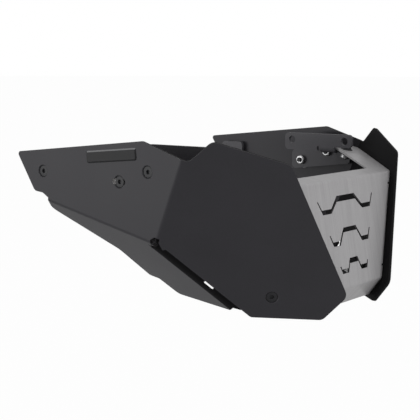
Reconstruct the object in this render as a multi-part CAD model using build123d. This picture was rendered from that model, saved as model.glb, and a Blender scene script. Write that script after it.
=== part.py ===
from build123d import *
from math import cos, radians, sin, tan
import os

# Motorcycle skid plate: two folded side panels, a brushed front panel between them, and the brackets,
# screws, spacers and nuts that hold them to each other and to the engine.
# X points to the front of the machine, Y to its left, Z up. Z = 0 is the lowest edge of the side panels
# and X = 0 is the middle of the length. All sizes are in millimetres and all angles in degrees.
# The right side is drawn and the left side is its mirror image.

# Side panel, measured on its outer faces
SHEET = 3.0
HALF_WIDTH = 174.5
OUTER_BEND = 5.0
FRONT_FOLD_TOP = (58.3, 165.4)
FRONT_FOLD_LENGTH = 84.5
FRONT_FOLD_LEAN = 21.8
FRONT_FOLD_BEND = 40.2
LOWER_FOLD_FRONT = (17.8, 82.3)
LOWER_FOLD_LENGTH = 143.7
LOWER_FOLD_SLOPE = 12.7
LOWER_FOLD_BEND = 48.6
FOLD_EDGE = 3.0

# Tab along the front edge of the lower flap, behind the front flap and parallel to it
# Distances along its fold are measured from the point where it is TAB_MIDDLE away from the front fold
TAB_DEPTH = 10.0
TAB_MIDDLE = 70.0
TAB_FOLD_REAR = -77.0
TAB_FOLD_FRONT = 27.0
TAB_WIDTH = 16.0
WINDOW_REAR = -14.0
WINDOW_FRONT = -1.5
WINDOW_FLOOR = 4.0
WINDOW_CORNER = 1.0
CORNER_SCREW_AT = (112.4, 127.8)

# Screws of the side facet
REAR_SCREW_AT = (-128.7, 144.6)
MIDDLE_SCREW_AT = (-21.9, 139.7)
FRONT_SCREW_AT = (15.3, 151.5)
SIDE_SCREWS_AT = (REAR_SCREW_AT, MIDDLE_SCREW_AT, FRONT_SCREW_AT)
SCREW_HOLE = 6.6
SLOT_LENGTH = 17.0
COUNTERSINK_DIAMETER = 13.6

# Screws, nuts, spacers and washers
THREAD = 6.0
COUNTERSUNK_DIAMETER = 11.4
FLANGE_DIAMETER = 13.6
FLANGE_HEIGHT = 1.0
HEAD_DIAMETER = 10.5
HEAD_HEIGHT = 3.3
HEAD_SHOULDER = (3.8, 2.55)
HEAD_TOP_RADIUS = 2.8
SOCKET_WIDTH = 4.0
SOCKET_DEPTH = 2.0
SIDE_SCREW_LENGTH = 16.0
ARM_SCREW_LENGTH = 12.0
CORNER_SCREW_LENGTH = 25.0
SPACER_DIAMETER = 21.0
SPACER_LENGTH = 3.0
SPACER_BORE = 8.0
CORNER_SPACER_DIAMETER = 14.0
WASHER_DIAMETER = 12.0
WASHER_THICKNESS = 1.6
NUT_WIDTH = 10.0
NUT_HEIGHT = 5.0
NUT_COLLAR_DIAMETER = 8.6
NUT_COLLAR_HEIGHT = 2.0
CLINCH_NUT_DIAMETER = 11.0
CLINCH_NUT_HEIGHT = 5.0
CLINCH_SHANK_DIAMETER = 8.7

# Front panel, measured on its outer faces
FRONT_SHEET = 2.0
FRONT_OUTER_BEND = 3.5
TOP_FOLD = (133.0, 138.9)
FACE_LEAN = 10.0
FACE_LENGTH = 112.2
CHIN_ANGLE = 42.1
CHIN_LENGTH = 30.0
TOP_PLATE_RISE = 13.1
TOP_PLATE_LENGTH = 90.0
TOP_STRIP_WIDTH = 16.5
OPENING_HALF_FRONT = 80.0
OPENING_HALF_REAR = 134.0
OPENING_CORNER = 2.0
PANEL_GAP = 0.6
FLANGE_DEPTH = 20.0
FLANGE_TOP = 14.0
FLANGE_BOTTOM = 98.0
NOTCH_HEIGHT = 2.0
NOTCH_DEPTH = 3.0
OVERSIZE = 200.0

# Zig-zag slots of the front face, from the top one to the bottom one
# Distances below the top fold: bar top, bar bottom, arm tip, foot top, foot bottom
SLOT_LEVELS = (
    (17.0, 23.1, 20.0, 29.2, 34.0),
    (50.4, 55.3, 56.0, 63.2, 67.9),
    (82.6, 88.0, 89.0, 92.4, 97.1),
)
# Distances from the middle: bar end, inner foot corner, outer foot corner, arm tip
SLOT_HALF_WIDTHS = ((17.7, 31.0, 48.0, 56.4), (12.6, 22.0, 35.3, 41.2), (7.9, 12.9, 25.2, 28.9))
SLOT_ARM_WIDTH = 2.0
SLOT_BAR_FLARE = 0.8

# Studs on the front flap that carry the flanges of the front panel
STUD_DIAMETER = 5.0
STUD_LENGTH = 11.0
STUD_HOLE = 5.5
STUDS_AT = ((34.0, 119.6), (71.3, 149.9))
STUD_WASHER_DIAMETER = 10.0
STUD_WASHER_THICKNESS = 1.0
STUD_NUT_WIDTH = 8.0
STUD_NUT_HEIGHT = 4.0

# Engine brackets
BRACKET_SHEET = 4.0
BRACKET_BEND = 6.0
BRACKET_FACE = HALF_WIDTH - SHEET - SPACER_LENGTH
PAD_REAR = -36.0
PAD_BOTTOM = 128.0
PAD_FRONT_BOTTOM = 138.0
PAD_MARGIN = 11.0
PAD_EAR = 6.0
BRACKET_CORNER = 5.0
SHELF_TOP = 157.0
SHELF_REAR = 26.0
FOLD_RELIEF = 3.0
WEB_FACE = 131.0
WEB_REAR = -22.0
WEB_FRONT = 70.0
WEB_REAR_BOTTOM = 155.0
WEB_FRONT_BOTTOM = 159.6
WEB_TOP = 175.0
LUG_FRONT = 66.0
LUG_INNER = 134.0
LUG_OUTER = 150.0
ARM_SCREW_AT = (55.0, 142.0)
ENGINE_HOLE = 9.0
ENGINE_HOLES_X = (-12.0, 60.0)
ENGINE_HOLES_Z = 167.0
REAR_BRACKET_HALF = 16.0
REAR_BRACKET_TOP = 158.0
REAR_SHELF_FLOOR = 128.0
REAR_SHELF_INNER = 112.0
REAR_ENGINE_HOLE_Y = 134.0

# Rubber grommet and steel sleeve of the rear bracket
GROMMET_DIAMETER = 24.0
GROMMET_HEIGHT = 10.0
GROMMET_GROOVE = 16.0
GROMMET_EDGE = 1.0
SLEEVE_DIAMETER = 11.0
SLEEVE_BORE = 8.4
SLEEVE_HEIGHT = 12.0

# Blank name plates
PLATE_LENGTH = 67.0
PLATE_HEIGHT = 12.5
PLATE_THICKNESS = 1.0
PLATE_BEVEL = 55.0
PLATE_CORNER = 2.5
PLATE_CENTRE = (-31.8, 165.4)
PLATE_TILT = 5.3

# Edges count as parallel within this angle
PARALLEL_WITHIN = 0.2


def in_xz(angle):
    """Unit vector in the XZ plane, so many degrees above +X."""
    return Vector(cos(radians(angle)), 0, sin(radians(angle)))


def flap_plane(start, along, bend):
    """Plane of a flap folded inward from the side facet about the line that runs along from its start."""
    outward = Vector(0, -1, 0).rotate(Axis((0, 0, 0), along), -bend)
    return Plane(origin=(start[0], -HALF_WIDTH, start[1]), x_dir=along, z_dir=outward)


SIDE_PLANE = Plane(origin=(0, -HALF_WIDTH, 0), x_dir=(1, 0, 0), z_dir=(0, -1, 0))
FRONT_FOLD = in_xz(270 - FRONT_FOLD_LEAN)
FRONT_PLANE = flap_plane(FRONT_FOLD_TOP, FRONT_FOLD, FRONT_FOLD_BEND)
LOWER_FOLD = in_xz(180 - LOWER_FOLD_SLOPE)
LOWER_PLANE = flap_plane(LOWER_FOLD_FRONT, LOWER_FOLD, LOWER_FOLD_BEND)
TAB_PLANE = FRONT_PLANE.offset(-TAB_DEPTH)
TAB_ROW = TAB_PLANE.from_local_coords((0, TAB_MIDDLE, 0))
TAB_DROP = (LOWER_PLANE.origin - TAB_ROW).dot(LOWER_PLANE.z_dir) / FRONT_FOLD.dot(LOWER_PLANE.z_dir)
FRONT_FOLD_AXIS = Axis(FRONT_PLANE.origin, FRONT_FOLD)
LOWER_FOLD_AXIS = Axis(LOWER_PLANE.origin, LOWER_FOLD)
TAB_FOLD_AXIS = Axis(TAB_ROW + FRONT_FOLD * TAB_DROP, TAB_PLANE.z_dir.cross(LOWER_PLANE.z_dir))

FACE_DOWN = in_xz(FACE_LEAN - 90)
FACE_PLANE = Plane(origin=(TOP_FOLD[0], 0, TOP_FOLD[1]), x_dir=(0, -1, 0), z_dir=in_xz(FACE_LEAN))
CHIN_FOLD = FACE_PLANE.origin + FACE_DOWN * FACE_LENGTH
CHIN_PLANE = Plane(origin=CHIN_FOLD, x_dir=(0, -1, 0), z_dir=in_xz(-CHIN_ANGLE))
TOP_PLANE = Plane(origin=FACE_PLANE.origin, x_dir=(0, 1, 0), z_dir=in_xz(90 - TOP_PLATE_RISE))


def outline(corners):
    """Flat face through corners given as (x, y) or (x, y, rounding radius)."""
    sketch = make_face(Polyline([corner[:2] for corner in corners], close=True))
    for corner in corners:
        if len(corner) == 3:
            vertex = sketch.vertices().sort_by_distance((corner[0], corner[1]))[0]
            sketch = fillet(vertex, corner[2])
    return sketch


def slab(plane, sketch, thickness):
    """Flat piece of sheet: its outer face lies in the plane and its thickness goes inward."""
    return extrude(plane * sketch, amount=thickness, dir=-plane.z_dir)


def inside(shape, plane):
    """The part of a shape that lies behind a plane."""
    return split(shape, bisect_by=plane, keep=Keep.BOTTOM)


def edge_near(shape, point, along):
    """The straight edge of a shape that runs along a direction closest to a point."""
    parallel = [edge for edge in shape.edges() if edge.geom_type == GeomType.LINE]
    parallel = [edge for edge in parallel if abs((edge % 0.5).dot(along)) > cos(radians(PARALLEL_WITHIN))]
    return ShapeList(parallel).sort_by_distance(point)[0]


def round_fold(shape, point, first, second, thickness, outer_radius):
    """Round both edges of the fold between two facets; point is on the sharp outer edge."""
    along = first.z_dir.cross(second.z_dir).normalized()
    reach = thickness / (1 + first.z_dir.dot(second.z_dir))
    inner_point = Vector(point) - (first.z_dir + second.z_dir) * reach
    shape = fillet(edge_near(shape, inner_point, along), outer_radius - thickness)
    return fillet(edge_near(shape, point, along), outer_radius)


def drill(shape, plane, diameter, depth):
    """Cut a round hole inward through a plane's origin."""
    return shape - extrude(plane * Circle(diameter / 2), amount=depth, dir=-plane.z_dir)


def at(plane, point, depth=0.0):
    """The plane moved to a point given in its own coordinates and so far inward."""
    origin = plane.from_local_coords((point[0], point[1], -depth))
    return Plane(origin=origin, x_dir=plane.x_dir, z_dir=plane.z_dir)


def left(shape):
    """The same piece on the left side."""
    return mirror(shape, about=Plane.XZ)


# Side panels


def beside(plane, fold, along, away):
    """Point measured along a fold and away to its left, in a facet's own coordinates."""
    point = fold.position + fold.direction * along + plane.z_dir.cross(fold.direction) * away
    local = plane.to_local_coords(point)
    return (local.X, local.Y)


def side_facet():
    """Upright facet with the three side screws; its edges start at right angles to the folds."""
    corners = [
        (-167.4, 163.6, 3),
        (8.5, 181.5, 10),
        beside(SIDE_PLANE, FRONT_FOLD_AXIS, 0, -FOLD_EDGE),
        beside(SIDE_PLANE, FRONT_FOLD_AXIS, 0, 0),
        beside(SIDE_PLANE, FRONT_FOLD_AXIS, FRONT_FOLD_LENGTH, 0),
        beside(SIDE_PLANE, FRONT_FOLD_AXIS, FRONT_FOLD_LENGTH, -FOLD_EDGE),
        beside(SIDE_PLANE, LOWER_FOLD_AXIS, 0, -FOLD_EDGE),
        beside(SIDE_PLANE, LOWER_FOLD_AXIS, 0, 0),
        beside(SIDE_PLANE, LOWER_FOLD_AXIS, LOWER_FOLD_LENGTH, 0),
        beside(SIDE_PLANE, LOWER_FOLD_AXIS, LOWER_FOLD_LENGTH, -FOLD_EDGE),
        (-129.5, 121.6, 4),
        (-141.7, 123.0, 7),
    ]
    return slab(SIDE_PLANE, outline(corners), SHEET)


def front_flap():
    """Large front facet; corners are measured down the fold and away from it."""
    corners = [
        (0, 0),
        (0, FOLD_EDGE),
        (-0.6, 7.5, 8),
        (-25.9, 22.9, 9),
        (-25.2, 102.1, 10),
        (89.7, 200.2, 9),
        (121.7, 184.5, 8),
        (139.4, 114.2, 6),
        (93.1, 11.7, 1.2),
        (94.9, 8.9, 1),
        (88.6, FOLD_EDGE),
        (FRONT_FOLD_LENGTH, FOLD_EDGE),
        (FRONT_FOLD_LENGTH, 0),
    ]
    return slab(FRONT_PLANE, outline(corners), SHEET)


def lower_flap():
    """Facet that turns in under the engine; corners are measured back along the fold and away from it."""
    corners = [
        (0, 0),
        (LOWER_FOLD_LENGTH, 0),
        (LOWER_FOLD_LENGTH, FOLD_EDGE),
        (147.5, 16.0, 8),
        (70.0, 54.5, 12),
        (46.5, 92.5, 3),
        (32.5, 91.0, 3),
        (14.9, 111.8, 8),
        beside(LOWER_PLANE, TAB_FOLD_AXIS, TAB_FOLD_FRONT, -FOLD_EDGE),
        beside(LOWER_PLANE, TAB_FOLD_AXIS, TAB_FOLD_FRONT, 0),
        beside(LOWER_PLANE, TAB_FOLD_AXIS, TAB_FOLD_REAR, 0),
        beside(LOWER_PLANE, TAB_FOLD_AXIS, TAB_FOLD_REAR, -FOLD_EDGE),
        (0, FOLD_EDGE),
    ]
    return slab(LOWER_PLANE, outline(corners), SHEET)


def edge_tab():
    """Tab that closes the slit from behind and carries the corner screw, in the front flap's coordinates."""
    corners = [
        beside(TAB_PLANE, TAB_FOLD_AXIS, TAB_FOLD_FRONT, 0),
        beside(TAB_PLANE, TAB_FOLD_AXIS, TAB_FOLD_REAR, 0),
        beside(TAB_PLANE, TAB_FOLD_AXIS, TAB_FOLD_REAR, FOLD_EDGE),
        (91.5, -5.0, 1.5),
        (84.0, -5.0, 2),
        beside(TAB_PLANE, TAB_FOLD_AXIS, TAB_FOLD_REAR + TAB_WIDTH / 2, TAB_WIDTH),
        beside(TAB_PLANE, TAB_FOLD_AXIS, WINDOW_FRONT, TAB_WIDTH),
        (101.0, 115.0, 4),
        (101.0, 140.0, 4),
        (125.0, 140.0, 4),
        (139.2, 104.0, 3),
        beside(TAB_PLANE, TAB_FOLD_AXIS, TAB_FOLD_FRONT, FOLD_EDGE),
    ]
    return slab(TAB_PLANE, outline(corners), SHEET)


def tab_window():
    """Notch in the free edge of the tab, through which light shows in the slit."""
    corners = [
        (*beside(TAB_PLANE, TAB_FOLD_AXIS, WINDOW_REAR, WINDOW_FLOOR), WINDOW_CORNER),
        (*beside(TAB_PLANE, TAB_FOLD_AXIS, WINDOW_FRONT, WINDOW_FLOOR), WINDOW_CORNER),
        beside(TAB_PLANE, TAB_FOLD_AXIS, WINDOW_FRONT, TAB_WIDTH + WINDOW_FLOOR),
        beside(TAB_PLANE, TAB_FOLD_AXIS, WINDOW_REAR, TAB_WIDTH + WINDOW_FLOOR),
    ]
    return slab(TAB_PLANE, outline(corners), SHEET)


def countersunk_hole(shape, plane):
    """Cut a screw hole whose right-angled cone is as wide as the countersink at the plane."""
    wide = COUNTERSINK_DIAMETER / 2
    return shape - turned(plane, [(0, 0), (wide, 0), (wide - SHEET, -SHEET), (0, -SHEET)])


def right_side_panel():
    """One folded sheet: side facet, front flap, lower flap and the tab behind the slit."""
    panel = side_facet() + front_flap() + lower_flap() + edge_tab()
    front_middle = FRONT_FOLD_AXIS.position + FRONT_FOLD_AXIS.direction * FRONT_FOLD_LENGTH / 2
    lower_middle = LOWER_FOLD_AXIS.position + LOWER_FOLD_AXIS.direction * LOWER_FOLD_LENGTH / 2
    tab_middle = TAB_FOLD_AXIS.position + TAB_FOLD_AXIS.direction * (TAB_FOLD_REAR + TAB_FOLD_FRONT) / 2
    panel = round_fold(panel, front_middle, SIDE_PLANE, FRONT_PLANE, SHEET, OUTER_BEND)
    panel = round_fold(panel, lower_middle, SIDE_PLANE, LOWER_PLANE, SHEET, OUTER_BEND)
    panel = round_fold(panel, tab_middle, TAB_PLANE, LOWER_PLANE, SHEET, OUTER_BEND)
    panel -= tab_window()
    slot = at(SIDE_PLANE, MIDDLE_SCREW_AT) * SlotOverall(SLOT_LENGTH, SCREW_HOLE)
    panel -= extrude(slot, amount=SHEET, dir=(0, 1, 0))
    for place in SIDE_SCREWS_AT:
        panel = countersunk_hole(panel, at(SIDE_PLANE, place))
    panel = countersunk_hole(panel, at(FRONT_PLANE, CORNER_SCREW_AT))
    return drill(panel, at(FRONT_PLANE, CORNER_SCREW_AT, TAB_DEPTH), SCREW_HOLE, SHEET)


# Front panel


def zigzag_slot(levels, half_widths):
    """Flat zig-zag: a bar in the middle, and on each side of it a foot with a thin arm that rises."""
    bar_top, bar_bottom, tip, foot_top, foot_bottom = levels
    bar, foot_inner, foot_outer, arm = half_widths
    arm_at_foot_top = foot_outer + (arm - foot_outer) * (foot_bottom - foot_top) / (foot_bottom - tip)
    half = [
        (bar, bar_top),
        (foot_inner, foot_top),
        (arm_at_foot_top - SLOT_ARM_WIDTH, foot_top),
        (arm - SLOT_ARM_WIDTH, tip),
        (arm, tip),
        (foot_outer, foot_bottom),
        (foot_inner, foot_bottom),
        (bar + SLOT_BAR_FLARE, bar_bottom),
    ]
    return outline(half + [(-x, y) for x, y in reversed(half)])


def top_plate():
    """Plate behind the top fold, open in the middle for the exhaust pipes, with an arm on each side."""
    plate = outline([
        (-OVERSIZE, 0),
        (OVERSIZE, 0),
        (OVERSIZE, TOP_PLATE_LENGTH),
        (-OVERSIZE, TOP_PLATE_LENGTH),
    ])
    opening = outline([
        (-OPENING_HALF_FRONT, TOP_STRIP_WIDTH, OPENING_CORNER),
        (OPENING_HALF_FRONT, TOP_STRIP_WIDTH, OPENING_CORNER),
        (OPENING_HALF_REAR, TOP_PLATE_LENGTH),
        (-OPENING_HALF_REAR, TOP_PLATE_LENGTH),
    ])
    return slab(TOP_PLANE, plate - opening, FRONT_SHEET)


def strip(plane, length):
    """Facet of the front panel that spans the full width and runs down from its fold."""
    corners = [(-OVERSIZE, 0), (OVERSIZE, 0), (OVERSIZE, length), (-OVERSIZE, length)]
    return slab(plane, outline(corners), FRONT_SHEET)


def row(top, bottom):
    """Right half of a level row of the front face."""
    return outline([(0, top), (OVERSIZE, top), (OVERSIZE, bottom), (0, bottom)])


def side_flange():
    """Flange of the front face that lies on the inside of the right front flap."""
    sheet = slab(FRONT_PLANE.offset(-SHEET), Rectangle(2 * OVERSIZE, 2 * OVERSIZE), FRONT_SHEET)
    return sheet & slab(FACE_PLANE, row(FLANGE_TOP, FLANGE_BOTTOM), FLANGE_DEPTH)


def fold_notch(top):
    """Notch in the right edge of the front face at one end of the flange fold."""
    notch = slab(FACE_PLANE, row(top, top + NOTCH_HEIGHT), FRONT_SHEET)
    return notch - inside(notch, FRONT_PLANE.offset(-SHEET - NOTCH_DEPTH))


def front_panel():
    """One folded sheet: slotted front face, chin, top plate and two side flanges."""
    panel = strip(FACE_PLANE, FACE_LENGTH) + strip(CHIN_PLANE, CHIN_LENGTH) + top_plate()
    panel = round_fold(panel, CHIN_PLANE.origin, FACE_PLANE, CHIN_PLANE, FRONT_SHEET, FRONT_OUTER_BEND)
    panel = round_fold(panel, TOP_PLANE.origin, FACE_PLANE, TOP_PLANE, FRONT_SHEET, FRONT_OUTER_BEND)
    for side in (SIDE_PLANE, FRONT_PLANE):
        clear = side.offset(-SHEET - PANEL_GAP)
        panel = inside(left(inside(left(panel), clear)), clear)
    for top in (FLANGE_TOP - NOTCH_HEIGHT, FLANGE_BOTTOM):
        panel = panel - fold_notch(top) - left(fold_notch(top))
    panel = panel + side_flange() + left(side_flange())
    flange_plane = FRONT_PLANE.offset(-SHEET)
    edge = flange_plane.intersect(FACE_PLANE)
    middle = FACE_PLANE.origin + FACE_DOWN * (FLANGE_TOP + FLANGE_BOTTOM) / 2
    right_fold = edge.position + edge.direction * ((middle - edge.position).Z / edge.direction.Z)
    panel = round_fold(panel, right_fold, FACE_PLANE, flange_plane, FRONT_SHEET, FRONT_OUTER_BEND)
    panel = left(panel)
    panel = round_fold(panel, right_fold, FACE_PLANE, flange_plane, FRONT_SHEET, FRONT_OUTER_BEND)
    for levels, half_widths in zip(SLOT_LEVELS, SLOT_HALF_WIDTHS):
        panel -= slab(FACE_PLANE, zigzag_slot(levels, half_widths), FRONT_SHEET)
    for side in (1, -1):
        hole = (side * ARM_SCREW_AT[1], back_from_fold(TOP_PLANE, ARM_SCREW_AT[0]))
        panel = drill(panel, at(TOP_PLANE, hole), SCREW_HOLE, FRONT_SHEET)
    for place in STUDS_AT:
        hole = at(FRONT_PLANE, place, SHEET)
        panel = left(drill(left(drill(panel, hole, STUD_HOLE, FRONT_SHEET)), hole, STUD_HOLE, FRONT_SHEET))
    return panel


# Engine brackets


def back_from_fold(plane, x):
    """Distance from the top fold to a given X, measured along the top plate."""
    return (plane.origin.X - x) / cos(radians(TOP_PLATE_RISE))


def arm_plane(depth=0.0):
    """Plane of the right arm screw, so far below the top face of the arm."""
    return at(TOP_PLANE, (-ARM_SCREW_AT[1], back_from_fold(TOP_PLANE, ARM_SCREW_AT[0])), depth)


def front_bracket():
    """Pad behind two side screws, shelf and lug under the arm, and upright web with the engine holes."""
    pad_plane = SIDE_PLANE.offset(BRACKET_FACE - HALF_WIDTH)
    shelf_plane = Plane(origin=(0, 0, SHELF_TOP), x_dir=(1, 0, 0), z_dir=(0, 0, 1))
    shelf_bottom = Plane(origin=(0, 0, SHELF_TOP - BRACKET_SHEET), x_dir=(1, 0, 0), z_dir=(0, 0, -1))
    web_plane = SIDE_PLANE.offset(WEB_FACE - HALF_WIDTH)
    web_inner = Plane(origin=(0, BRACKET_SHEET - WEB_FACE, 0), x_dir=(-1, 0, 0), z_dir=(0, 1, 0))
    under_arm = TOP_PLANE.offset(-FRONT_SHEET)
    shelf_front = under_arm.origin.X - (SHELF_TOP - under_arm.origin.Z) / tan(radians(TOP_PLATE_RISE))
    shelf_inner = WEB_FACE - BRACKET_SHEET
    pad = outline([
        (PAD_REAR, PAD_BOTTOM, BRACKET_CORNER),
        (PAD_REAR, MIDDLE_SCREW_AT[1] + PAD_MARGIN, BRACKET_CORNER),
        (FRONT_SCREW_AT[0] - PAD_MARGIN, SHELF_TOP + PAD_EAR, BRACKET_CORNER),
        (SHELF_REAR - FOLD_RELIEF, SHELF_TOP + PAD_EAR, FOLD_RELIEF),
        (SHELF_REAR - FOLD_RELIEF, SHELF_TOP - BRACKET_BEND),
        (SHELF_REAR, SHELF_TOP - BRACKET_BEND),
        (SHELF_REAR, SHELF_TOP),
        (shelf_front, SHELF_TOP),
        (shelf_front, PAD_FRONT_BOTTOM, BRACKET_CORNER),
    ])
    shelf = outline([
        (SHELF_REAR, -BRACKET_FACE),
        (shelf_front, -BRACKET_FACE),
        (shelf_front, -shelf_inner),
        (SHELF_REAR, -shelf_inner),
    ])
    web = outline([
        (SHELF_REAR, SHELF_TOP - BRACKET_SHEET),
        (shelf_front, SHELF_TOP - BRACKET_SHEET),
        (shelf_front, WEB_FRONT_BOTTOM),
        (WEB_FRONT, WEB_FRONT_BOTTOM, BRACKET_CORNER),
        (WEB_FRONT, WEB_TOP, BRACKET_CORNER),
        (WEB_REAR, WEB_TOP, BRACKET_CORNER),
        (WEB_REAR, WEB_REAR_BOTTOM, BRACKET_CORNER),
        (SHELF_REAR - FOLD_RELIEF, WEB_REAR_BOTTOM),
        (SHELF_REAR - FOLD_RELIEF, SHELF_TOP + FOLD_RELIEF),
        (SHELF_REAR, SHELF_TOP + FOLD_RELIEF),
    ])
    lug_ends = [back_from_fold(under_arm, x) for x in (shelf_front, LUG_FRONT)]
    lug = outline([
        (-LUG_OUTER, lug_ends[0]),
        (-LUG_OUTER, lug_ends[1], BRACKET_CORNER),
        (-LUG_INNER, lug_ends[1], BRACKET_CORNER),
        (-LUG_INNER, lug_ends[0]),
    ])
    bracket = slab(pad_plane, pad, BRACKET_SHEET) + slab(shelf_plane, shelf, BRACKET_SHEET)
    bracket += slab(web_plane, web, BRACKET_SHEET)
    bracket += slab(under_arm, lug, BRACKET_SHEET)
    middle = (SHELF_REAR + shelf_front) / 2
    pad_fold = (middle, -BRACKET_FACE, SHELF_TOP)
    web_fold = (middle, -shelf_inner, SHELF_TOP - BRACKET_SHEET)
    bracket = round_fold(bracket, pad_fold, pad_plane, shelf_plane, BRACKET_SHEET, BRACKET_BEND)
    bracket = round_fold(bracket, web_fold, web_inner, shelf_bottom, BRACKET_SHEET, BRACKET_BEND)
    for place in (MIDDLE_SCREW_AT, FRONT_SCREW_AT):
        bracket = drill(bracket, at(pad_plane, place), CLINCH_SHANK_DIAMETER, BRACKET_SHEET)
    for x in ENGINE_HOLES_X:
        bracket = drill(bracket, at(web_plane, (x, ENGINE_HOLES_Z)), ENGINE_HOLE, BRACKET_SHEET)
    return drill(bracket, arm_plane(FRONT_SHEET), CLINCH_SHANK_DIAMETER, BRACKET_SHEET)


def rear_bracket():
    """Angle with a pad behind the rear side screw and a shelf with the grommet hole."""
    middle = REAR_SCREW_AT[0]
    pad_plane = SIDE_PLANE.offset(BRACKET_FACE - HALF_WIDTH)
    shelf_plane = Plane(origin=(0, 0, REAR_SHELF_FLOOR), x_dir=(1, 0, 0), z_dir=(0, 0, -1))
    rear = middle - REAR_BRACKET_HALF
    front = middle + REAR_BRACKET_HALF
    pad = outline([
        (rear, REAR_SHELF_FLOOR),
        (front, REAR_SHELF_FLOOR),
        (front, REAR_BRACKET_TOP, BRACKET_CORNER),
        (rear, REAR_BRACKET_TOP, BRACKET_CORNER),
    ])
    shelf = outline([
        (rear, BRACKET_FACE),
        (front, BRACKET_FACE),
        (front, REAR_SHELF_INNER, BRACKET_CORNER),
        (rear, REAR_SHELF_INNER, BRACKET_CORNER),
    ])
    bracket = slab(pad_plane, pad, BRACKET_SHEET) + slab(shelf_plane, shelf, BRACKET_SHEET)
    fold = (middle, -BRACKET_FACE, REAR_SHELF_FLOOR)
    bracket = round_fold(bracket, fold, pad_plane, shelf_plane, BRACKET_SHEET, BRACKET_BEND)
    bracket = drill(bracket, at(pad_plane, REAR_SCREW_AT), CLINCH_SHANK_DIAMETER, BRACKET_SHEET)
    return drill(bracket, at(shelf_plane, (middle, REAR_ENGINE_HOLE_Y)), GROMMET_GROOVE, BRACKET_SHEET)


# Small parts; each is built outward from a plane and turned to face along it


def turned(plane, half_profile):
    """Solid of revolution about the plane's normal; the half profile gives (radius, height)."""
    return plane * revolve(Plane.XZ * make_face(Polyline(half_profile, close=True)), axis=Axis.Z)


def ring(plane, outer_diameter, bore, height):
    """Plain ring that stands on a plane and goes inward."""
    return extrude(plane * (Circle(outer_diameter / 2) - Circle(bore / 2)), amount=height, dir=-plane.z_dir)


def with_socket(shape, plane):
    """Cut a hexagon socket inward from a plane."""
    socket = plane * RegularPolygon(SOCKET_WIDTH / 2, 6, major_radius=False)
    return shape - extrude(socket, amount=SOCKET_DEPTH, dir=-plane.z_dir)


def countersunk_screw(plane, length):
    """Screw whose cone sits in a countersunk hole, with its head a little below the plane."""
    wide = COUNTERSUNK_DIAMETER / 2
    top = -(COUNTERSINK_DIAMETER - COUNTERSUNK_DIAMETER) / 2
    neck = top - (COUNTERSUNK_DIAMETER - THREAD) / 2
    body = turned(plane, [
        (0, top),
        (wide, top),
        (THREAD / 2, neck),
        (THREAD / 2, top - length),
        (0, top - length),
    ])
    return with_socket(body, plane.offset(top))


def button_screw(plane, length):
    """Button head screw with a flange; the flange sits on the plane and the shank goes inward."""
    crown = ThreePointArc((HEAD_DIAMETER / 2, FLANGE_HEIGHT), HEAD_SHOULDER, (HEAD_TOP_RADIUS, HEAD_HEIGHT))
    outer = Polyline([
        (HEAD_TOP_RADIUS, HEAD_HEIGHT),
        (0, HEAD_HEIGHT),
        (0, -length),
        (THREAD / 2, -length),
        (THREAD / 2, 0),
        (FLANGE_DIAMETER / 2, 0),
        (FLANGE_DIAMETER / 2, FLANGE_HEIGHT / 2),
        (HEAD_DIAMETER / 2, FLANGE_HEIGHT),
    ])
    body = plane * revolve(Plane.XZ * make_face([crown, outer.edges()]), axis=Axis.Z)
    return with_socket(body, plane.offset(HEAD_HEIGHT))


def clinch_nut(plane):
    """Round nut pressed into a bracket from the inside; the plane is the bracket's outer face."""
    shank = ring(plane, CLINCH_SHANK_DIAMETER, THREAD, BRACKET_SHEET)
    return shank + ring(plane.offset(-BRACKET_SHEET), CLINCH_NUT_DIAMETER, THREAD, CLINCH_NUT_HEIGHT)


def hexagon_nut(plane, width, bore, height):
    """Hexagon nut that stands on a plane and goes inward."""
    shape = plane * (RegularPolygon(width / 2, 6, major_radius=False) - Circle(bore / 2))
    return extrude(shape, amount=height, dir=-plane.z_dir)


def corner_nut(plane):
    """Lock nut: a hexagon with a round collar."""
    nut = hexagon_nut(plane, NUT_WIDTH, THREAD, NUT_HEIGHT)
    return nut + ring(plane.offset(-NUT_HEIGHT), NUT_COLLAR_DIAMETER, THREAD, NUT_COLLAR_HEIGHT)


def stud(plane):
    """Plain stud that stands on a plane and goes inward."""
    return extrude(plane * Circle(STUD_DIAMETER / 2), amount=STUD_LENGTH, dir=-plane.z_dir)


def grommet(plane):
    """Rubber grommet with a groove for the shelf; the plane is the middle of the shelf."""
    top = GROMMET_HEIGHT / 2
    groove = BRACKET_SHEET / 2
    return turned(plane, [
        (SLEEVE_DIAMETER / 2, -top),
        (GROMMET_DIAMETER / 2 - GROMMET_EDGE, -top),
        (GROMMET_DIAMETER / 2, -top + GROMMET_EDGE),
        (GROMMET_DIAMETER / 2, -groove),
        (GROMMET_GROOVE / 2, -groove),
        (GROMMET_GROOVE / 2, groove),
        (GROMMET_DIAMETER / 2, groove),
        (GROMMET_DIAMETER / 2, top - GROMMET_EDGE),
        (GROMMET_DIAMETER / 2 - GROMMET_EDGE, top),
        (SLEEVE_DIAMETER / 2, top),
    ])


def name_plate():
    """Blank plate on the side facet with bevelled edges, tilted like the panel's top edge."""
    face = Rot(0, 0, PLATE_TILT) * RectangleRounded(PLATE_LENGTH, PLATE_HEIGHT, PLATE_CORNER)
    return extrude(at(SIDE_PLANE, PLATE_CENTRE) * face, amount=PLATE_THICKNESS, taper=PLATE_BEVEL)


def both_sides(shapes):
    """A group of separate solids: the given right side pieces and their mirror images."""
    solids = [solid for shape in shapes for solid in shape.solids()]
    return Compound(children=solids + [solid for shape in solids for solid in left(shape).solids()])


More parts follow.
